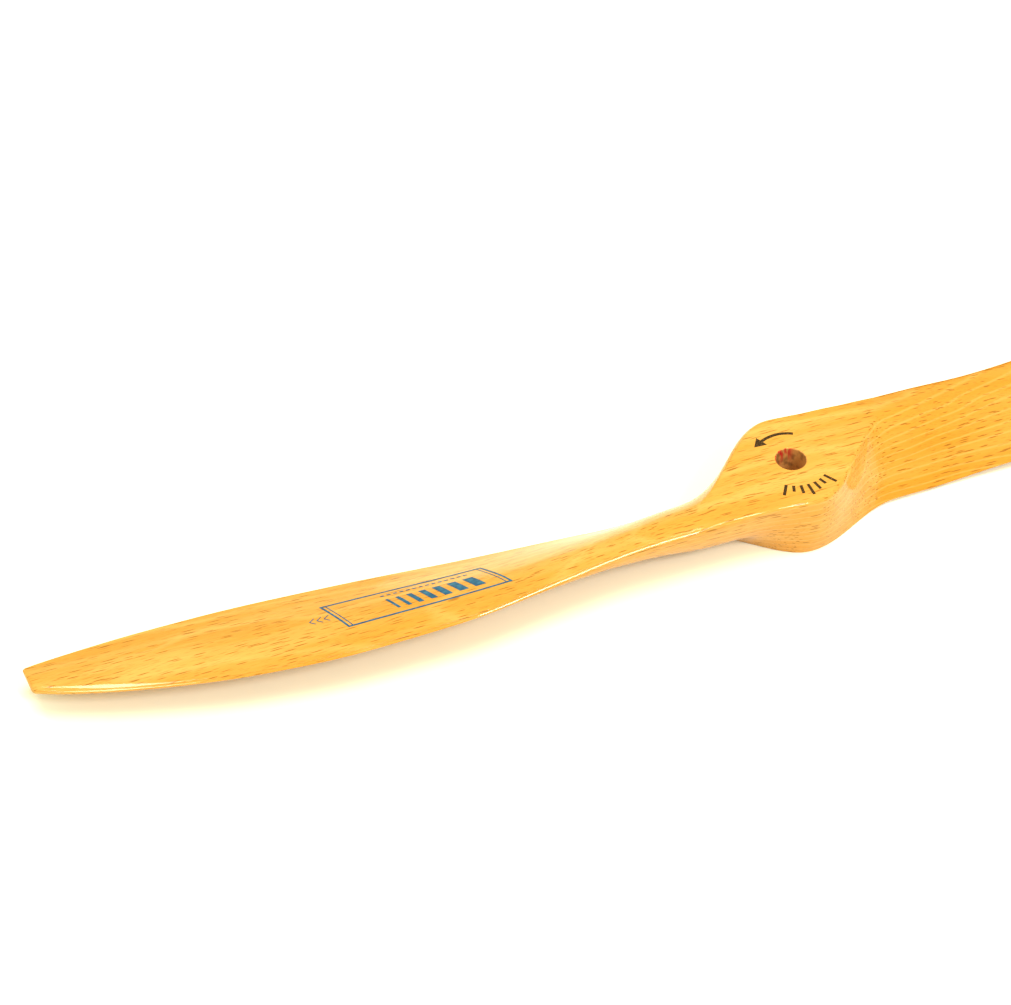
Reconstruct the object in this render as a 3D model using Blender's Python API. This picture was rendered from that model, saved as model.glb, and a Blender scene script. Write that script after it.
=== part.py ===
"""Two-blade wooden propeller for a large radio-controlled model aeroplane.

The propeller is carved from one plank of beech. It lies on the flat back of its hub: the origin is on the
bore's axis at that back face, +Z runs along the bore towards the front face, and +X runs out along one blade.
Turned half a turn about Z, the propeller looks the same. It pulls towards +Z and turns anticlockwise seen
from there, so each blade's leading edge is its anticlockwise side, high on the plank, and its trailing edge
is low. A printed transfer lies on the front of each blade.
"""

import math

import bmesh
import bpy
import numpy as np

MM = 0.001

# Overall sizes
DIAMETER = 482.6 * MM  # 19 in
PITCH = 254.0 * MM  # 10 in: the advance in one turn, which sets the twist
RADIUS = DIAMETER / 2

# Hub
HUB_THICKNESS = 22.0 * MM
HUB_HALF_WIDTH = 19.4 * MM  # at the front face
HUB_FLARE = 1.1 * MM  # how much wider each side of the hub is at the back face
HUB_BACK_HALF_WIDTH = HUB_HALF_WIDTH + HUB_FLARE
HUB_BULGE = 0.9 * MM  # how far the rounded flank stands out past the edges of the two faces
HUB_REACH = 50.0 * MM  # the hub's width has run into the leading edge this far out
CREST_REACH = 39.0 * MM  # the front face's edge has crossed the hub and become the blade's crest this far out
FILLET_REACH = 34.0 * MM  # the hub's round side has run into the trailing edge this far out
BORE_DIAMETER = 9.525 * MM  # 3/8 in
BORE_SIDES = 64
CUTTER_OVERRUN = 5.0 * MM

# Blade, from the bore's axis to the tip. Radius, how far the leading edge stands ahead of the axis, how far
# the trailing edge stands behind it, how high the front's crest is above the chord, and how far the back
# stands off the chord, all in mm.
BLADE_STATIONS = (
    (0.0, 19.4, 9.9, 7.8, 9.0),
    (14.0, 18.7, 9.8, 7.8, 9.0),
    (40.0, 18.9, 9.2, 7.4, 7.8),
    (62.0, 19.6, 8.2, 5.1, 6.2),
    (85.0, 22.0, 8.0, 3.8, 4.2),
    (115.0, 26.0, 8.8, 3.1, 2.2),
    (145.0, 26.4, 10.0, 2.8, 1.5),
    (175.0, 23.9, 10.4, 2.4, 1.3),
    (205.0, 18.0, 9.2, 2.0, 1.1),
    (230.0, 10.6, 6.8, 1.5, 0.9),
    (241.3, 6.5, 5.2, 1.3, 0.8),
)
TABLE_RADIUS = BLADE_STATIONS[-1][0]
LEAD, TRAIL, CREST, BACK_FULLNESS = 1, 2, 3, 4  # the table's columns
CREST_SHARE = 0.33  # the crest's place on the chord, from the leading edge
CREST_SOFT_START = 18.0 * MM  # the hub's sharp front edge begins to round over this far out
CREST_SOFT_END = 38.0 * MM  # it is the blade's round crest from here on
EDGE_MARGIN = 1.4 * MM  # wood left above the leading edge and below the trailing edge near the hub
RISE_LIMIT = HUB_THICKNESS - 2 * EDGE_MARGIN
RISE_KNEE = 16.0  # how sharply the twist stops growing at that limit
MIDDLE_SINK_AT_ROOT = 0.3 * MM  # how far the blade's middle lies below the hub's middle
MIDDLE_SINK_AT_TIP = 1.4 * MM
ROOT_START = 16.0 * MM  # the hub's block begins to turn into the blade here
ROOT_END = 42.0 * MM
NOSE_RADIUS = 0.9 * MM
NOSE_ROUNDING = 0.35  # how round the nose is: 0 would leave it chamfered
TRAILING_THICKNESS = 0.7 * MM
TOP_CROWN = 0.5 * MM  # how full the top is between the nose and the crest
CREST_HANDLE = 0.3  # how far the crest's roundness reaches down the front, as a share of it
FLANK_AT_ROOT = 15.0 * MM  # how far the curve of the back hangs straight down from the leading edge
FLANK_AT_MIDDLE = 1.8 * MM
FLANK_ROOT_RADIUS = 26.0 * MM
FLANK_MIDDLE_RADIUS = 110.0 * MM
TIP_RAKE = 1.6 * MM  # the tip is cut back this far at the leading corner
TIP_RAKE_LENGTH = 14.0 * MM
TIP_ROUND = 1.5 * MM
TIP_ROUND_SHARE = 0.7  # the rounding takes at most this share of the tip's thickness
TIP_ROUND_STEPS = 3

# Printed transfer on the front of each blade
TRANSFER_LENGTH = 62.0 * MM
TRANSFER_WIDTH = 18.0 * MM
TRANSFER_RADIUS = 128.0 * MM  # its middle, from the bore's axis
TRANSFER_CHORD_SHARE = 0.5  # its middle, from the leading edge
TRANSFER_THICKNESS = 0.12 * MM
TRANSFER_CLEARANCE = 0.3 * MM
TRANSFER_SQUARENESS = 5.0  # 2 would make its outline an ellipse
TRANSFER_RINGS = 5
TRANSFER_SECTORS = 44

# Fineness of the loft
HUB_STEP = 2.4 * MM
BLADE_STEP = 6.4 * MM
NOSE_STEPS = 3
TOP_STEPS = 5
FACE_STEPS = NOSE_STEPS + TOP_STEPS
SIDE_STEPS = 10
FINE_SIDE_STEPS = 120
CUBIC_REACH = 0.75  # a cubic curve stands this share of its handles' offset off its chord
SHARP_ANGLE = math.radians(32)

WOOD_COLOR = (0.83, 0.50, 0.15, 1.0)
INK_COLOR = (0.01, 0.13, 0.42, 1.0)


def clear_scene():
    for obj in list(bpy.data.objects):
        bpy.data.objects.remove(obj, do_unlink=True)


def new_collection(name):
    collection = bpy.data.collections.new(name)
    bpy.context.scene.collection.children.link(collection)
    return collection


def new_material(name, color, roughness):
    material = bpy.data.materials.new(name)
    material.use_nodes = True
    shader = material.node_tree.nodes["Principled BSDF"]
    shader.inputs["Base Color"].default_value = color
    shader.inputs["Roughness"].default_value = roughness
    shader.inputs["Metallic"].default_value = 0.0
    return material


def new_object(name, mesh, collection):
    obj = bpy.data.objects.new(name, mesh)
    collection.objects.link(obj)
    return obj


def smooth_step(low, high, value):
    share = min(max((value - low) / (high - low), 0.0), 1.0)
    return share * share * (3 - 2 * share)


def blend(first, second, share):
    return first + (second - first) * share


def station_value(column, distance):
    """One column of the blade's table at a distance from the axis, as a smooth curve with no overshoot."""
    radius = min(distance / RADIUS, 1.0) * TABLE_RADIUS
    radii = [row[0] for row in BLADE_STATIONS]
    values = [row[column] for row in BLADE_STATIONS]
    gaps = np.diff(radii)
    rises = np.diff(values) / gaps
    slopes = [0.0]
    for left, right in zip(rises, rises[1:]):
        slopes.append(0.0 if left * right <= 0 else 2 * left * right / (left + right))
    slopes.append(rises[-1])
    index = max(i for i, start in enumerate(radii[:-1]) if radius >= start)
    share = (radius - radii[index]) / gaps[index]
    rest = 1 - share
    value = rest**2 * ((1 + 2 * share) * values[index] + share * gaps[index] * slopes[index])
    value += share**2 * ((1 + 2 * rest) * values[index + 1] - rest * gaps[index] * slopes[index + 1])
    return value * MM


def edge_heights(distance, width):
    """The heights of the leading and trailing edges: the helix of the pitch, held inside the plank."""
    rise = width * PITCH / (2 * math.pi * max(distance, BORE_DIAMETER))
    rise /= (1 + (rise / RISE_LIMIT) ** RISE_KNEE) ** (1 / RISE_KNEE)
    sink = blend(MIDDLE_SINK_AT_ROOT, MIDDLE_SINK_AT_TIP, distance / RADIUS)
    middle = HUB_THICKNESS / 2 - sink
    blade = smooth_step(ROOT_START, ROOT_END, distance)
    leading = middle + rise / 2
    trailing = middle - rise / 2
    return blend(HUB_THICKNESS, leading, blade), trailing * blade


def straight(start, end, steps):
    """Points along a line, leaving out its end."""
    return start + (end - start) * (np.arange(steps)[:, None] / steps)


def bezier(start, first, second, end, steps):
    """Points along a cubic curve, leaving out its end."""
    share = np.arange(steps)[:, None] / steps
    rest = 1 - share
    return rest**3 * start + 3 * rest**2 * share * first + 3 * rest * share**2 * second + share**3 * end


def length(line):
    return float(np.hypot(*line))


def unit(line):
    return line / length(line)


def left_of(line):
    """The unit vector across a line in the section's plane, on its left as it is followed."""
    return unit(np.array((-line[1], line[0])))


def section(distance, side_steps=SIDE_STEPS):
    """The cut across the blade at +X = distance, as (y, z) points.

    They run from the leading edge over the hub's front face, or the blade's top, to its crest, down the front
    to the trailing edge, back over the flat of the back face, and up the blade's back to the leading edge.
    """
    hub = 1 - smooth_step(0, ROOT_START + ROOT_END, 2 * distance)
    blade = smooth_step(ROOT_START, ROOT_END, distance)
    lead = station_value(LEAD, distance)
    lead += (HUB_HALF_WIDTH - station_value(LEAD, 0)) * (1 - smooth_step(0, HUB_REACH, distance))
    trail = station_value(TRAIL, distance)
    trail += (HUB_BACK_HALF_WIDTH - trail) * (1 - smooth_step(0, FILLET_REACH, distance))
    lead_z, trail_z = edge_heights(distance, lead + trail)
    leading = np.array((lead, lead_z))
    trailing = np.array((-trail, trail_z + TRAILING_THICKNESS / 2 * blade))
    swell = HUB_BULGE * hub / CUBIC_REACH

    # The edge of the hub's flat face crosses from the trailing side and turns into the crest of the blade.
    chord = trailing - leading
    on_blade = leading + chord * CREST_SHARE + np.array((0.0, station_value(CREST, distance)))
    crest_y = blend(-HUB_HALF_WIDTH, on_blade[0], smooth_step(0, CREST_REACH, distance))
    crest = np.array((crest_y, blend(HUB_THICKNESS, on_blade[1], blade)))
    soft = smooth_step(CREST_SOFT_START, CREST_SOFT_END, distance)
    rounded = leading + np.array((-NOSE_RADIUS, NOSE_RADIUS / 2))
    even_y = blend(leading[0], crest_y, NOSE_STEPS / FACE_STEPS)
    nose_end_y = blend(even_y, rounded[0], smooth_step(0, ROOT_END, distance))
    nose_end = np.array((nose_end_y, blend(HUB_THICKNESS, rounded[1], blade)))

    top_line = crest - nose_end
    front_line = trailing - crest
    over_crest = unit(unit(top_line) + unit(front_line))
    rounding = np.array((0.0, NOSE_ROUNDING * NOSE_RADIUS * blade))
    third = (nose_end - leading) / 3
    nose = bezier(leading, leading + third + rounding, nose_end - third + rounding, nose_end, NOSE_STEPS)
    crown = -left_of(top_line) * TOP_CROWN * blade
    to_crest = blend(unit(top_line), over_crest, soft) * length(top_line) / 3
    top = bezier(nose_end, nose_end + top_line / 3 + crown, crest - to_crest, crest, TOP_STEPS)

    bulge = -left_of(front_line) * swell
    sharp_start = front_line / 3 + bulge
    soft_start = over_crest * length(front_line) * CREST_HANDLE
    front_start = crest + blend(sharp_start, soft_start, soft)
    front_end = trailing - front_line / 3 + bulge
    front = bezier(crest, front_start, front_end, trailing, side_steps)

    back_edge = blend(HUB_BACK_HALF_WIDTH, TRAILING_THICKNESS - trail, smooth_step(0, HUB_REACH, distance))
    tail = np.array((back_edge, trail_z - TRAILING_THICKNESS / 2 * blade))
    back_line = leading - tail
    bulge = -left_of(back_line) * (swell + station_value(BACK_FULLNESS, distance) * blade)
    flank = blend(HUB_THICKNESS / 3, FLANK_AT_ROOT, smooth_step(0, FLANK_ROOT_RADIUS, distance))
    flank = blend(flank, FLANK_AT_MIDDLE, smooth_step(FLANK_ROOT_RADIUS, FLANK_MIDDLE_RADIUS, distance))
    flank_end = leading + np.array((swell, -flank))
    back = bezier(tail, tail + back_line / 3 + bulge, flank_end, leading, side_steps)
    ring = np.vstack((nose, top, front, straight(trailing, tail, FACE_STEPS), back))
    ring[:, 1] = np.clip(ring[:, 1], 0.0, HUB_THICKNESS)  # the plank was this thick before it was carved
    return ring


def blade_rings():
    """The sections of the +X blade from the bore's axis to the tip, as rings of points in space."""
    tip_start = RADIUS - TIP_ROUND
    hub_steps = math.ceil(HUB_REACH / HUB_STEP)
    blade_steps = math.ceil((tip_start - HUB_REACH) / BLADE_STEP)
    distances = list(np.linspace(0, HUB_REACH, hub_steps + 1))
    distances += list(np.linspace(HUB_REACH, tip_start, blade_steps + 1)[1:])
    angles = np.linspace(0, math.pi / 2, TIP_ROUND_STEPS + 1)[1:]
    distances += [RADIUS - TIP_ROUND * (1 - math.sin(angle)) for angle in angles[:-1]]
    distances.append(RADIUS)
    rings = []
    for distance in distances:
        ring = section(distance)
        middle = (ring.min(axis=0) + ring.max(axis=0)) / 2
        half = (ring.max(axis=0) - ring.min(axis=0)) / 2
        into_round = min(max(distance - tip_start, 0.0) / TIP_ROUND, 1.0)
        cut = np.minimum(TIP_ROUND * (1 - math.sqrt(1 - into_round**2)), half * TIP_ROUND_SHARE)
        ring = middle + (ring - middle) * (1 - cut / half)
        across = (ring[:, 0] - ring[:, 0].min()) / np.ptp(ring[:, 0])
        rake = TIP_RAKE * across * smooth_step(RADIUS - TIP_RAKE_LENGTH, RADIUS, distance)
        rings.append(np.column_stack((distance - rake, ring)))
    return rings


def opposite(ring):
    """The same section half a turn round the bore, with its points in the order that meets the +X half."""
    count = len(ring)
    order = [(FACE_STEPS - index) % count for index in range(count)]
    return ring[order] * np.array((-1.0, -1.0, 1.0))


def mesh_from_rings(name, rings):
    count = len(rings[0])
    mesh = bmesh.new()
    rows = [[mesh.verts.new(point) for point in ring] for ring in rings]
    for row, after in zip(rows, rows[1:]):
        for index in range(count):
            beside = (index + 1) % count
            mesh.faces.new((row[index], after[index], after[beside], row[beside]))
    mesh.faces.new(rows[0])
    mesh.faces.new(list(reversed(rows[-1])))
    bmesh.ops.recalc_face_normals(mesh, faces=mesh.faces)
    data = bpy.data.meshes.new(name)
    mesh.to_mesh(data)
    mesh.free()
    data.shade_smooth()
    data.set_sharp_from_angle(angle=SHARP_ANGLE)
    return data


def make_bore_cutter(collection):
    mesh = bmesh.new()
    depth = HUB_THICKNESS + 2 * CUTTER_OVERRUN
    radius = BORE_DIAMETER / 2
    circle = {"segments": BORE_SIDES, "radius1": radius, "radius2": radius}
    bmesh.ops.create_cone(mesh, cap_ends=True, depth=depth, **circle)
    data = bpy.data.meshes.new("bore_cutter")
    mesh.to_mesh(data)
    mesh.free()
    cutter = new_object("bore_cutter", data, collection)
    cutter.location.z = HUB_THICKNESS / 2
    cutter.display_type = "WIRE"
    cutter.hide_render = True
    return cutter


def make_body(collection, cutter, material):
    right = blade_rings()
    left = [opposite(ring) for ring in reversed(right[1:])]
    body = new_object("propeller_body", mesh_from_rings("propeller_body", left + right), collection)
    body.data.materials.append(material)
    bore = body.modifiers.new("bore", "BOOLEAN")
    bore.operation = "DIFFERENCE"
    bore.solver = "EXACT"
    bore.object = cutter
    return body


def front_height(distance, across):
    """The height of the blade's front at +X = distance and +Y = across."""
    ring = section(distance, FINE_SIDE_STEPS)
    front = ring[: FACE_STEPS + FINE_SIDE_STEPS + 1]
    return float(np.interp(across, front[::-1, 0], front[::-1, 1]))


def transfer_mesh():
    """A thin film that follows the blade's front: rings of points from its middle, above and below."""
    lead = station_value(LEAD, TRANSFER_RADIUS)
    middle_y = lead - (lead + station_value(TRAIL, TRANSFER_RADIUS)) * TRANSFER_CHORD_SHARE
    mesh = bmesh.new()
    layers = []
    for clearance in (TRANSFER_CLEARANCE, TRANSFER_CLEARANCE + TRANSFER_THICKNESS):
        rows = []
        for ring in range(TRANSFER_RINGS + 1):
            row = []
            for sector in range(TRANSFER_SECTORS if ring else 1):
                angle = 2 * math.pi * sector / TRANSFER_SECTORS
                along, aside = math.cos(angle), math.sin(angle)
                reach = abs(along) ** TRANSFER_SQUARENESS + abs(aside) ** TRANSFER_SQUARENESS
                share = ring / TRANSFER_RINGS * reach ** (-1 / TRANSFER_SQUARENESS)
                distance = TRANSFER_RADIUS + TRANSFER_LENGTH / 2 * share * along
                across = middle_y + TRANSFER_WIDTH / 2 * share * aside
                row.append(mesh.verts.new((distance, across, front_height(distance, across) + clearance)))
            rows.append(row)
        layers.append(rows)
    for rows in layers:
        for sector in range(TRANSFER_SECTORS):
            beside = (sector + 1) % TRANSFER_SECTORS
            mesh.faces.new((rows[0][0], rows[1][sector], rows[1][beside]))
            for inner, outer in zip(rows[1:], rows[2:]):
                mesh.faces.new((inner[sector], outer[sector], outer[beside], inner[beside]))
    for sector in range(TRANSFER_SECTORS):
        beside = (sector + 1) % TRANSFER_SECTORS
        low, high = layers[0][-1], layers[1][-1]
        mesh.faces.new((low[sector], low[beside], high[beside], high[sector]))
    bmesh.ops.recalc_face_normals(mesh, faces=mesh.faces)
    data = bpy.data.meshes.new("blade_transfer")
    mesh.to_mesh(data)
    mesh.free()
    data.shade_smooth()
    data.set_sharp_from_angle(angle=SHARP_ANGLE)
    return data


def make_transfers(collection, material):
    data = transfer_mesh()
    data.materials.append(material)
    for name, turn in (("blade_transfer_1", 0.0), ("blade_transfer_2", math.pi)):
        transfer = new_object(name, data, collection)
        transfer.rotation_euler.z = turn


def main():
    clear_scene()
    parts = new_collection("wooden_propeller")
    cutters = new_collection("cutters")
    cutter = make_bore_cutter(cutters)
    make_body(parts, cutter, new_material("lacquered_beech", WOOD_COLOR, 0.2))
    make_transfers(parts, new_material("printed_transfer", INK_COLOR, 0.3))


main()
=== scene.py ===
"""The looks of a two-blade beech propeller for a large radio-controlled model aeroplane, in metres.

The propeller lies on the flat back of its hub. The bore's axis is Z, the blades run out along X, and the
wood's grain runs along X too. The sections follow the propeller as it is made: the wood is carved and
lacquered, the hub is stamped, the transfers are laid on the blades, and it is put on a table to be looked at.
"""

import math

import bpy
from mathutils import Matrix, Quaternion, Vector


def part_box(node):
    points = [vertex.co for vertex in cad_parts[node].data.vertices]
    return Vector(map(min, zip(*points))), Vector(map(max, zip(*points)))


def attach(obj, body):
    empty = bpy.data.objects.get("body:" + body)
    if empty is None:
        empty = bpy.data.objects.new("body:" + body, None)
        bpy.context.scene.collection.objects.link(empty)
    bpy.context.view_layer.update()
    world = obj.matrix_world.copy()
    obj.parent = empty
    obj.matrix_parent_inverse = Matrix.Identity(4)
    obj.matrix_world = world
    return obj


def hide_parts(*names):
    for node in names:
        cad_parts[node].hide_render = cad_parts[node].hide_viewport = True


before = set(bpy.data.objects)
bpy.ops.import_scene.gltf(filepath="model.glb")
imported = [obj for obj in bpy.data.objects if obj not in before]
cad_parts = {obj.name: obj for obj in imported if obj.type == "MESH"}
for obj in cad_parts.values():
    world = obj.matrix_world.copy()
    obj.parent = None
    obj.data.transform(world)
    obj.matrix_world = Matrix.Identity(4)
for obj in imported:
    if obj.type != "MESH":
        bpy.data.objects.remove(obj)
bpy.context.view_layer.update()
MM = 0.001


# --- The carved body ---------------------------------------------------------------------------------------
# One plank of beech, carved to both blades and the hub, bored, sanded and dipped in clear gloss lacquer.
# Sanding leaves every edge a little round. The bore is drilled last, so its wall is bare wood.

SMALL_ROUND = 0.33 * MM
LEADING_ROUND = 0.85 * MM
CREASE_ROUND = 1.8 * MM  # where the hub's face folds down into a blade, which is sanded softest
LEADING_LINE = 18.0 * MM  # the leading edges lie further than this from the X axis
CREASE_START = 100  # degrees round the bore from a blade's own line: the fold begins here
CREASE_TURN = 18  # degrees over which it grows soft
CREASE_END = 24.5 * MM  # it has narrowed to a small round this far out along X
CREASE_FADE = 0.16  # how fast it widens from there towards the bore
BORE_KEEP = 8.0 * MM  # edges nearer the axis than this belong to the bore
EDGE_STEPS = 4
EDGE_PROFILE = 0.36  # a little flatter than round
FLAT_MARGIN = 2.3 * MM  # a strip along the rim of each flat face, which its edge's roundness runs into
FLATNESS = 0.01 * MM
SHARP = math.radians(32)
QUAD_SHAPE = math.radians(60)
WELD = 0.002 * MM
SMOOTH_LEVELS = 2

body_low, body_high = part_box("propeller_body")
hub_top = body_high.z


def copy_of(node, name):
    """A merged copy of a CAD node, made active and the only thing selected."""
    copy = bpy.data.objects.new(name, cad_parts[node].data.copy())
    bpy.context.scene.collection.objects.link(copy)
    bpy.ops.object.select_all(action="DESELECT")
    copy.select_set(True)
    bpy.context.view_layer.objects.active = copy
    bpy.ops.object.mode_set(mode="EDIT")
    bpy.ops.mesh.select_all(action="SELECT")
    bpy.ops.mesh.remove_doubles(threshold=WELD)
    bpy.ops.mesh.customdata_custom_splitnormals_clear()
    bpy.ops.mesh.select_all(action="DESELECT")
    bpy.ops.object.mode_set(mode="OBJECT")
    return copy


def select_flat(obj, height):
    """Selects the faces that lie wholly at this height, ready for edit mode."""
    for polygon in obj.data.polygons:
        corners = [obj.data.vertices[index].co.z for index in polygon.vertices]
        polygon.select = max(abs(z - height) for z in corners) < FLATNESS


def edge_round(middle):
    """How widely sanding rounds the sharp edge whose middle is here."""
    ahead = math.degrees(math.atan2(middle.y, middle.x)) % 180
    if middle.z > hub_top / 2 and abs(middle.y) > LEADING_LINE and ahead < CREASE_START:
        return LEADING_ROUND
    if middle.z <= hub_top - FLATNESS or middle.xy.length <= BORE_KEEP:
        return SMALL_ROUND
    soft = min(max((ahead - CREASE_START) / CREASE_TURN, 0.0), 1.0)
    width = LEADING_ROUND + (CREASE_ROUND - LEADING_ROUND) * soft
    return min(width, SMALL_ROUND + max(CREASE_END - abs(middle.x), 0.0) * CREASE_FADE)


def apply_modifier(obj, kind, **settings):
    """Puts a modifier on the active object and applies it at once."""
    modifier = obj.modifiers.new(kind.lower(), kind)
    for name, value in settings.items():
        setattr(modifier, name, value)
    bpy.ops.object.modifier_apply(modifier=modifier.name)


# The two flat faces are filled afresh and inset, so that their edges can be rounded evenly.
body = copy_of("propeller_body", "carved_body")
bpy.ops.object.mode_set(mode="EDIT")
bpy.ops.mesh.select_all(action="SELECT")
bpy.ops.mesh.tris_convert_to_quads(face_threshold=SHARP, shape_threshold=QUAD_SHAPE)
bpy.ops.mesh.select_mode(type="FACE")
bpy.ops.object.mode_set(mode="OBJECT")
for flat_height in (body_low.z, hub_top):
    select_flat(body, flat_height)
    bpy.ops.object.mode_set(mode="EDIT")
    bpy.ops.mesh.delete(type="FACE")
    bpy.ops.mesh.select_mode(type="EDGE")
    bpy.ops.mesh.select_non_manifold(extend=False)
    bpy.ops.mesh.fill(use_beauty=True)
    bpy.ops.mesh.select_mode(type="FACE")
    bpy.ops.mesh.inset(thickness=FLAT_MARGIN)
    bpy.ops.mesh.select_all(action="DESELECT")
    bpy.ops.object.mode_set(mode="OBJECT")

bpy.ops.object.mode_set(mode="EDIT")
bpy.ops.mesh.select_mode(type="EDGE")
bpy.ops.mesh.edges_select_sharp(sharpness=SHARP)
bpy.ops.object.mode_set(mode="OBJECT")
points = [vertex.co for vertex in body.data.vertices]
weights = body.data.attributes.new("bevel_weight_edge", "FLOAT", "EDGE")
for edge, weight in zip(body.data.edges, weights.data):
    if edge.select:
        start, end = edge.vertices
        weight.value = edge_round((points[start] + points[end]) / 2) / CREASE_ROUND
bpy.ops.object.mode_set(mode="EDIT")
bpy.ops.mesh.select_all(action="DESELECT")
bpy.ops.mesh.select_mode(type="FACE")
bpy.ops.object.mode_set(mode="OBJECT")
apply_modifier(
    body, "BEVEL", limit_method="WEIGHT", width=CREASE_ROUND, segments=EDGE_STEPS, profile=EDGE_PROFILE,
    use_clamp_overlap=False,
)
apply_modifier(body, "SUBSURF", levels=SMOOTH_LEVELS, render_levels=SMOOTH_LEVELS)
bpy.ops.object.shade_smooth()


class Tone:
    """One socket of a finish. Arithmetic on tones adds Math nodes to the finish's node tree."""

    def __init__(self, tree, socket=None):
        self.tree = tree
        self.socket = socket

    def node(self, kind, output, settings, inputs):
        """Another node in the same tree. Settings are set first, then its sockets get values or links."""
        made = self.tree.nodes.new(kind)
        for name, value in settings.items():
            setattr(made, name, value)
        for name, value in inputs.items():
            if isinstance(value, Tone):
                self.tree.links.new(value.socket, made.inputs[name])
            else:
                made.inputs[name].default_value = value
        return Tone(self.tree, made.outputs[output])

    def beside(self, output):
        """Another output of the node that this tone comes from."""
        return Tone(self.tree, self.socket.node.outputs[output])

    def worked(self, operation, *terms):
        return self.node("ShaderNodeMath", 0, {"operation": operation}, dict(enumerate(terms)))

    def __add__(self, other):
        return self.worked("ADD", self, other)

    __radd__ = __add__

    def __sub__(self, other):
        return self.worked("SUBTRACT", self, other)

    def __rsub__(self, other):
        return self.worked("SUBTRACT", other, self)

    def __mul__(self, other):
        return self.worked("MULTIPLY", self, other)

    def __truediv__(self, other):
        return self.worked("DIVIDE", self, other)

    def __pow__(self, other):
        return self.worked("POWER", self, other)

    def band(self, low, high):
        """0 at low, 1 at high, with a smooth step between."""
        inputs = {"Value": self, "From Min": low, "From Max": high}
        return self.node("ShaderNodeMapRange", 0, {"interpolation_type": "SMOOTHSTEP"}, inputs)

    def between(self, first, second):
        """The first colour where this tone is 0, the second where it is 1, and their mixture between."""
        return self.node("ShaderNodeMix", 2, {"data_type": "RGBA"}, {0: self, 6: first, 7: second})


def new_finish(name, **fixed):
    """A material, its shader with the fixed values set, and the tones of X, Y and Z in millimetres."""
    material = bpy.data.materials.new(name)
    material.use_nodes = True
    tree = material.node_tree
    shader = tree.nodes["Principled BSDF"]
    for socket, value in fixed.items():
        shader.inputs[socket.replace("_", " ")].default_value = value
    place = Tone(tree).node("ShaderNodeTexCoord", "Object", {}, {})
    split = place.node("ShaderNodeSeparateXYZ", 0, {}, {0: place})
    return material, shader, [split.beside(axis) / MM for axis in range(3)]


def feed(shader, name, tone):
    """Links a tone to one of a shader's sockets."""
    tone.tree.links.new(tone.socket, shader.inputs[name])


def point(place, sizes):
    """The place, measured along its three directions in units of these sizes."""
    x, y, z = (axis / size for axis, size in zip(place, sizes))
    return x.node("ShaderNodeCombineXYZ", 0, {}, {0: x, 1: y, 2: z})


def cloud(place, sizes, detail=2.0):
    """Soft noise, about 0.5, whose features have these sizes along the three directions."""
    where = point(place, sizes)
    return where.node("ShaderNodeTexNoise", 0, {}, {"Vector": where, "Scale": 1.0, "Detail": detail})


def flecks(place, length, width, share, shifts):
    """Short dashes along the grain: the ends of the wood's rays, in one layer for each shift.

    A layer is made of cells of this length and width. Share is how many of them hold a fleck.
    """
    marks = 0.0
    x, y, z = place
    for along, across in shifts:
        where = point((x + along, y + across, z), (length, width, width))
        cells = where.node("ShaderNodeTexVoronoi", "Distance", {}, {"Vector": where, "Scale": 1.0})
        color = cells.beside("Color")
        chance = color.node("ShaderNodeSeparateColor", 0, {}, {0: color})
        shape = (FLECK_REACH - cells).band(0.0, FLECK_REACH * FLECK_SOFTNESS)
        layer = shape * chance.band(1 - share, 1 - share * FLECK_FULL)
        marks = layer.worked("MAXIMUM", marks, layer)
    return marks


BEECH_PALE = (0.60, 0.306, 0.070, 1.0)
BEECH_GOLD = (0.56, 0.246, 0.033, 1.0)
BEECH_ORANGE = (0.50, 0.19, 0.005, 1.0)
RING_PALE = (0.66, 0.395, 0.125, 1.0)
FLECK_BROWN = (0.26, 0.092, 0.002, 1.0)
BARE_WOOD = (0.62, 0.29, 0.10, 1.0)
DARK_BORE = (0.06, 0.025, 0.01, 1.0)
RED_INK = (0.55, 0.02, 0.02, 1.0)

# How much of each colour the wood takes, and how much its fibres lighten and darken it.
BROAD_ORANGE = 0.30
# Painted shade: how much more orange the blade along +X is made, for its tilted front that gets less light.
SHADED_BLADE_ORANGE = 0.45
RING_AMOUNT = 0.30
DASH_AMOUNT = 0.85
SMALL_DASH_AMOUNT = 0.36
FIBRE_SHADE = 0.24
THREAD_SHADE = 0.16
DARK_PATCH_AMOUNT = 0.6

# Sizes inside the pattern are in millimetres, because the tones of X, Y and Z are.
RING_GAP = 2.1
RING_LEAN = 0.16  # how much the rings rise across the plank
RING_WAVE = 5.0
SWAY_ACROSS = 3.0  # how far the grain wanders across the plank, and up and down in it
SWAY_UP = 2.2
FLECK_REACH = 0.42  # how far a fleck reaches from the middle of its cell, in cells
FLECK_SOFTNESS = 0.45
FLECK_FULL = 0.7  # the share of the chosen cells whose fleck isn't faded
SHADED_BLADE_START = 15.0  # painted shade: the blade along +X is made more orange between these places along X, for its tilted front that gets less light
SHADED_BLADE_END = 60.0
BORE_WALL = 4.95  # bare wood ends this far from the axis, and lacquer begins a little further out
BORE_EDGE = 0.1
INK_START = 14.0  # a little red ink has run down into the bore, from one height to the other
INK_END = 21.0
INK_SIDE = 4.0

COAT = 0.7
SATIN = 0.45
BARE_EXTRA = 0.4  # how much rougher the bore's bare wood is
GRAIN_DEPTH = 0.05 * MM
GRAIN_STRENGTH = 0.35

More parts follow.
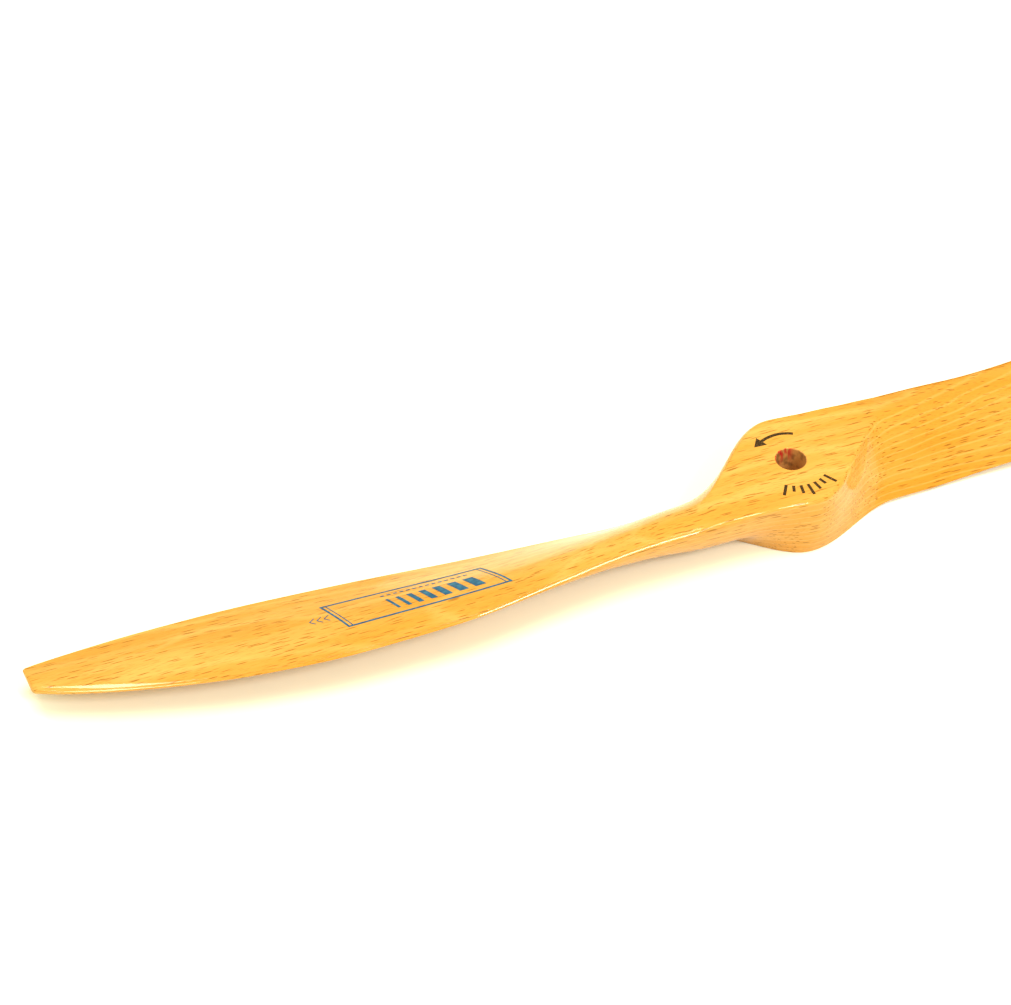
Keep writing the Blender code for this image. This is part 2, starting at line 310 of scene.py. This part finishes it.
beech, shader, place = new_finish(
    "lacquered_beech", Roughness=SATIN, Coat_Roughness=0.06, Coat_IOR=1.45, Specular_IOR_Level=0.05
)
x, y, z = place
sway = cloud(place, (60, 14, 14)) - 0.5
grain = (x, y + sway * SWAY_ACROSS, z + sway * SWAY_UP)
streak = cloud(grain, (90, 5.5, 5.5), detail=3.0).band(0.32, 0.68)
broad = cloud(place, (150, 22, 22)).band(0.3, 0.7)
ring = (grain[2] + y * RING_LEAN + cloud(place, (70, 18, 18)) * RING_WAVE) / RING_GAP
ring_line = (ring.worked("PINGPONG", ring, 0.5) * 2).band(0.62, 1.0)
fibre = cloud(place, (5, 0.22, 0.22)) - 0.5
thread = cloud(grain, (35, 1.3, 1.3)) - 0.5
dash = flecks(grain, length=6.4, width=0.56, share=0.17, shifts=((0, 0), (41, 13), (82, 26)))
small_dash = flecks(grain, length=3.4, width=0.30, share=0.30, shifts=((31, 7), (67, 29)))

wood = streak.between(BEECH_PALE, BEECH_GOLD)
# Broad random patches of orange in the wood, plus painted shade that makes the blade along +X more orange.
orange = broad * BROAD_ORANGE + x.band(SHADED_BLADE_START, SHADED_BLADE_END) * SHADED_BLADE_ORANGE
wood = orange.between(wood, BEECH_ORANGE)
wood = (ring_line * RING_AMOUNT).between(wood, RING_PALE)
wood = (small_dash * SMALL_DASH_AMOUNT).between(wood, FLECK_BROWN)
wood = (dash * DASH_AMOUNT).between(wood, FLECK_BROWN)
brightness = 1 + fibre * FIBRE_SHADE + thread * THREAD_SHADE
wood = wood.node("ShaderNodeHueSaturation", 0, {}, {"Color": wood, "Value": brightness})

from_axis = (x * x + y * y) ** 0.5
in_bore = 1 - from_axis.band(BORE_WALL, BORE_WALL + BORE_EDGE)
scratches = cloud(place, (0.5, 0.5, 0.35), detail=3.0)
# Near-black patches, placed at random, on the bore's bare wall.
dark_patches = cloud(place, (2.5, 2.5, 4)).band(0.45, 0.7)
red_side = z.band(INK_START, INK_END) * (y - x).band(0.0, INK_SIDE)
red_runs = cloud(place, (1.6, 1.6, 6)).band(0.42, 0.6) * red_side
bare = (0.75 + scratches * 0.2).between(wood, BARE_WOOD)
bare = (dark_patches * DARK_PATCH_AMOUNT).between(bare, DARK_BORE)
bare = red_runs.between(bare, RED_INK)

feed(shader, "Base Color", in_bore.between(wood, bare))
feed(shader, "Coat Weight", COAT - in_bore * COAT)
feed(shader, "Roughness", SATIN + in_bore * BARE_EXTRA)
# The fibres stand a little proud, the flecks are dents, and the drill has left the bore rough.
height = fibre * 0.3 - dash * 0.6 - small_dash * 0.2 + in_bore * scratches * 3
relief = {"Strength": GRAIN_STRENGTH, "Distance": GRAIN_DEPTH, "Height": height}
feed(shader, "Normal", height.node("ShaderNodeBump", 0, {}, relief))

body.data.materials.clear()
body.data.materials.append(beech)
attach(body, "root")
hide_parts("propeller_body")


# --- The marks on the hub ----------------------------------------------------------------------------------
# Dark ink stamped on the front face before it is lacquered: an arrow over the bore for the way it turns, and
# a row of strokes under it. They are thin plates that lie just clear of the face.

MARK_LIFT = 0.02 * MM
MARK_THICKNESS = 0.02 * MM
ARROW_RADIUS = 11.6 * MM
ARROW_WIDTH = 1.1 * MM
ARROW_START = math.radians(62)
ARROW_END = math.radians(118)
ARROW_STEPS = 180  # in the whole circle that the shaft is cut from
HEAD_SIZE = 2.5 * MM
STROKE_INNER = 11.8 * MM
STROKE_WIDTH = 0.95 * MM
STROKE_ANGLES = (-122, -111, -100, -89, -78, -67, -56)
STROKE_LENGTHS = (4.6, 2.6, 3.4, 4.6, 3.4, 2.6, 4.6)
STAMP_INK = (0.030, 0.014, 0.004, 1.0)
STAMP_WORN = (0.20, 0.095, 0.022, 1.0)


def bar(length, width, x, y, lean=0.0, turn=0.0):
    """A flat bar round (x, y). Its ends lean by a share of its width, and it is turned about Z afterwards."""
    bpy.ops.mesh.primitive_plane_add(size=1)
    made = bpy.context.active_object
    shape = Matrix(((length, lean * width, 0, x), (0, width, 0, y), (0, 0, 1, 0), (0, 0, 0, 1)))
    made.data.transform(Matrix.Rotation(turn, 4, "Z") @ shape)
    return made


def joined(name, pieces):
    """The pieces as one object, the only thing selected."""
    bpy.ops.object.select_all(action="DESELECT")
    for piece in pieces:
        piece.select_set(True)
    bpy.context.view_layer.objects.active = pieces[0]
    bpy.ops.object.join()
    whole = bpy.context.active_object
    whole.name = whole.data.name = name
    return whole


bpy.ops.object.select_all(action="DESELECT")
bpy.ops.mesh.primitive_circle_add(vertices=ARROW_STEPS, radius=ARROW_RADIUS - ARROW_WIDTH / 2)
shaft = bpy.context.active_object
bpy.ops.object.mode_set(mode="EDIT")
bpy.ops.mesh.select_all(action="SELECT")
bpy.ops.mesh.extrude_edges_move()
grow = (ARROW_RADIUS + ARROW_WIDTH / 2) / (ARROW_RADIUS - ARROW_WIDTH / 2)
bpy.ops.transform.resize(value=(grow, grow, 1), center_override=(0, 0, 0))
bpy.ops.mesh.select_all(action="DESELECT")
bpy.ops.object.mode_set(mode="OBJECT")
for polygon in shaft.data.polygons:
    angle = math.atan2(polygon.center.y, polygon.center.x)
    polygon.select = not ARROW_START < angle < ARROW_END
bpy.ops.object.mode_set(mode="EDIT")
bpy.ops.mesh.delete(type="FACE")
bpy.ops.object.mode_set(mode="OBJECT")

bpy.ops.mesh.primitive_circle_add(vertices=3, radius=HEAD_SIZE, fill_type="NGON")
head = bpy.context.active_object
head_place = Matrix.Translation((ARROW_RADIUS, HEAD_SIZE / 2, 0))
head.data.transform(Matrix.Rotation(ARROW_END, 4, "Z") @ head_place)

strokes = []
for degrees, length in zip(STROKE_ANGLES, STROKE_LENGTHS):
    middle = STROKE_INNER + length * MM / 2
    strokes.append(bar(length * MM, STROKE_WIDTH, middle, 0, turn=math.radians(degrees)))

marks = joined("hub_marks", [shaft, head, *strokes])
marks.data.transform(Matrix.Translation((0, 0, hub_top + MARK_LIFT)))
apply_modifier(marks, "SOLIDIFY", thickness=MARK_THICKNESS, offset=1.0)

ink, shader, place = new_finish("stamped_ink", Roughness=0.6, Specular_IOR_Level=0.15)
worn = cloud(place, (0.7, 0.35, 1.0), detail=3.0).band(0.52, 0.72)
feed(shader, "Base Color", worn.between(STAMP_INK, STAMP_WORN))
marks.data.materials.append(ink)
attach(marks, "root")


# --- The transfers on the blades ---------------------------------------------------------------------------
# A waterslide transfer lies on the front of each blade, under the lacquer: a plain badge of blue lines, a
# leaning frame round seven leaning bars that thin out, a dotted line beside them and three small angles.

INK_GAP = 0.04 * MM
INK_THICKNESS = 0.03 * MM
BADGE_LENGTH = 50.0 * MM
BADGE_WIDTH = 13.5 * MM
BADGE_LINE = 0.65 * MM
BADGE_SHIFT = 2.5 * MM  # how far the badge lies from the film's middle, towards the hub
LEAN = -0.42
BAR_START = 6.0 * MM  # from the frame's end on the hub's side
BAR_LENGTH = 6.2 * MM
BAR_WIDTHS = (3.2, 2.8, 2.4, 2.0, 1.6, 1.2, 0.9)
BAR_GAP = 2.2 * MM
BAR_RISE = 1.2 * MM  # the bars' middle, from the frame's towards the leading edge
DOT_COUNT = 14
DOT_START = 6.5 * MM
DOT_STEP = 2.0 * MM
DOT_DROP = 4.4 * MM  # from the frame's middle towards the trailing edge
DOT_LENGTH = 1.1 * MM
DOT_WIDTH = 0.55 * MM
ANGLE_COUNT = 3
ANGLE_SIZE = 1.5 * MM
ANGLE_START = 3.2 * MM  # the first angle's point, past the frame's end
ANGLE_STEP = 2.2 * MM
ANGLE_LINE = 0.4 * MM
FOLLOW_CUTS = 15  # so that each bar can follow the blade's curve
TRANSFER_BLUE = (0.006, 0.070, 0.175, 1.0)
TRANSFER_PALE = (0.020, 0.125, 0.260, 1.0)

film_low, film_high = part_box("blade_transfer_1")
badge_x = (film_low.x + film_high.x) / 2 - BADGE_SHIFT
badge_y = (film_low.y + film_high.y) / 2
badge_end = BADGE_LENGTH / 2


def lean_bar(along, across, length, width):
    """A bar in the badge's frame, whose ends lean with the badge."""
    return bar(length, width, badge_x + along + LEAN * across, badge_y + across, lean=LEAN)


pieces = []
for side in (-1, 1):
    pieces.append(lean_bar(0, side * BADGE_WIDTH / 2, BADGE_LENGTH + BADGE_LINE, BADGE_LINE))
    pieces.append(lean_bar(side * badge_end, 0, BADGE_LINE, BADGE_WIDTH))
    pieces.append(lean_bar(side * (badge_end - 2 * BADGE_LINE), 0, BADGE_LINE / 2, BADGE_WIDTH))
along = -badge_end + BAR_START
for width in BAR_WIDTHS:
    pieces.append(lean_bar(along + width * MM / 2, BAR_RISE, width * MM, BAR_LENGTH))
    along += width * MM + BAR_GAP
for index in range(DOT_COUNT):
    dot_x = -badge_end + DOT_START + index * DOT_STEP
    pieces.append(lean_bar(dot_x, -DOT_DROP, DOT_LENGTH, DOT_WIDTH))
for index in range(ANGLE_COUNT):
    angle_x = badge_x + badge_end + ANGLE_START + index * ANGLE_STEP - ANGLE_SIZE / 2
    for side in (-1, 1):
        angle_y = badge_y + side * ANGLE_SIZE / 2
        pieces.append(bar(ANGLE_LINE, ANGLE_SIZE, angle_x, angle_y, lean=-side))

badge = joined("badge_1", pieces)
badge.data.transform(Matrix.Translation((0, 0, body_high.z + MM)))
bpy.ops.object.mode_set(mode="EDIT")
bpy.ops.mesh.select_all(action="SELECT")
bpy.ops.mesh.subdivide(number_cuts=FOLLOW_CUTS)
bpy.ops.object.mode_set(mode="OBJECT")
apply_modifier(
    badge, "SHRINKWRAP", target=body, wrap_method="PROJECT", use_project_z=True, use_negative_direction=True,
    use_positive_direction=False, offset=INK_GAP,
)
apply_modifier(badge, "SOLIDIFY", thickness=INK_THICKNESS, offset=1.0)

blue, shader, place = new_finish("transfer_ink", Roughness=0.5, Specular_IOR_Level=0.2)
patchy = cloud(place, (1.5, 1.5, 1.5), detail=3.0).band(0.4, 0.7)
feed(shader, "Base Color", patchy.between(TRANSFER_BLUE, TRANSFER_PALE))
badge.data.materials.append(blue)

opposite = bpy.data.objects.new("badge_2", badge.data.copy())
bpy.context.scene.collection.objects.link(opposite)
opposite.data.transform(Matrix.Rotation(math.pi, 4, "Z"))
for index, made in enumerate((badge, opposite), start=1):
    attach(made, "root")
    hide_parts(f"blade_transfer_{index}")


# --- The table, the light and the camera -------------------------------------------------------------------
# A white table top, a large soft lamp over it and a bright white room round it. Two small lamps, one in front
# and one behind, draw the highlights along the leading edges.

TABLE_SIZE = 16.0
TABLE_WHITE = (0.9, 0.9, 0.9, 1.0)
ROOM_WHITE = (1.0, 0.98, 0.62, 1.0)
ROOM_LIGHT = 0.3
CEILING_LIGHT = 0.92  # what the ceiling adds to that, overhead
WALL_LIGHT = 0.6  # what the walls add, level with the table
EYE = Vector((-0.1965, -0.3286, 0.3904))
LOOKS_AT = Vector((-0.0844, 0.0314, 0.0))
ROLL = math.radians(-1.228)
LENS = 59.37
SENSOR = 36.0

bpy.ops.object.select_all(action="DESELECT")
bpy.ops.mesh.primitive_plane_add(size=TABLE_SIZE, location=(0, 0, body_low.z))
table = bpy.context.active_object
table.name = "table_top"
white, _, _ = new_finish("white_table", Base_Color=TABLE_WHITE, Roughness=0.9, Specular_IOR_Level=0.0)
table.data.materials.append(white)


def lamp(name, place, aim, size, power, color):
    """A soft rectangular lamp that shines from its place towards its aim."""
    bpy.ops.object.light_add(type="AREA", location=place)
    light = bpy.context.active_object
    light.name = name
    light.data.shape = "RECTANGLE"
    light.data.size, light.data.size_y = size
    light.data.energy = power
    light.data.color = color
    light.rotation_euler = (Vector(aim) - Vector(place)).to_track_quat("-Z", "Y").to_euler()


lamp(
    "key_lamp", place=(0.0, -0.08, 1.2), aim=(-0.05, 0.0, 0.0), size=(0.6, 0.45), power=10.5,
    color=(1.0, 0.96, 0.64),
)
lamp(
    "edge_lamp", place=(0.26, -0.76, 0.92), aim=(-0.04, -0.02, 0.02), size=(0.2, 0.30), power=8.5,
    color=(1.0, 0.97, 0.84),
)
lamp(
    "tip_lamp", place=(-0.46, 0.46, 1.10), aim=(-0.2, 0.0, 0.01), size=(0.18, 0.2), power=2.4,
    color=(1.0, 0.97, 0.82),
)

world = bpy.data.worlds.new("white_room")
bpy.context.scene.world = world
world.use_nodes = True
background = world.node_tree.nodes["Background"]
background.inputs["Color"].default_value = ROOM_WHITE
direction = Tone(world.node_tree).node("ShaderNodeTexCoord", "Generated", {}, {})
height = direction.node("ShaderNodeSeparateXYZ", 2, {}, {0: direction})
ceiling = height.band(0.0, 0.9) * CEILING_LIGHT
walls = (1 - height.band(0.0, 0.3)) * WALL_LIGHT
feed(background, "Strength", ROOM_LIGHT + ceiling + walls)

camera = bpy.data.cameras.new("camera")
camera.lens = LENS
camera.sensor_width = SENSOR
camera_object = bpy.data.objects.new("camera", camera)
bpy.context.scene.collection.objects.link(camera_object)
turn = (LOOKS_AT - EYE).to_track_quat("-Z", "Y") @ Quaternion((0, 0, 1), ROLL)
camera_object.matrix_world = Matrix.LocRotScale(EYE, turn, None)
bpy.context.scene.camera = camera_object
bpy.context.scene.view_settings.view_transform = "Standard"
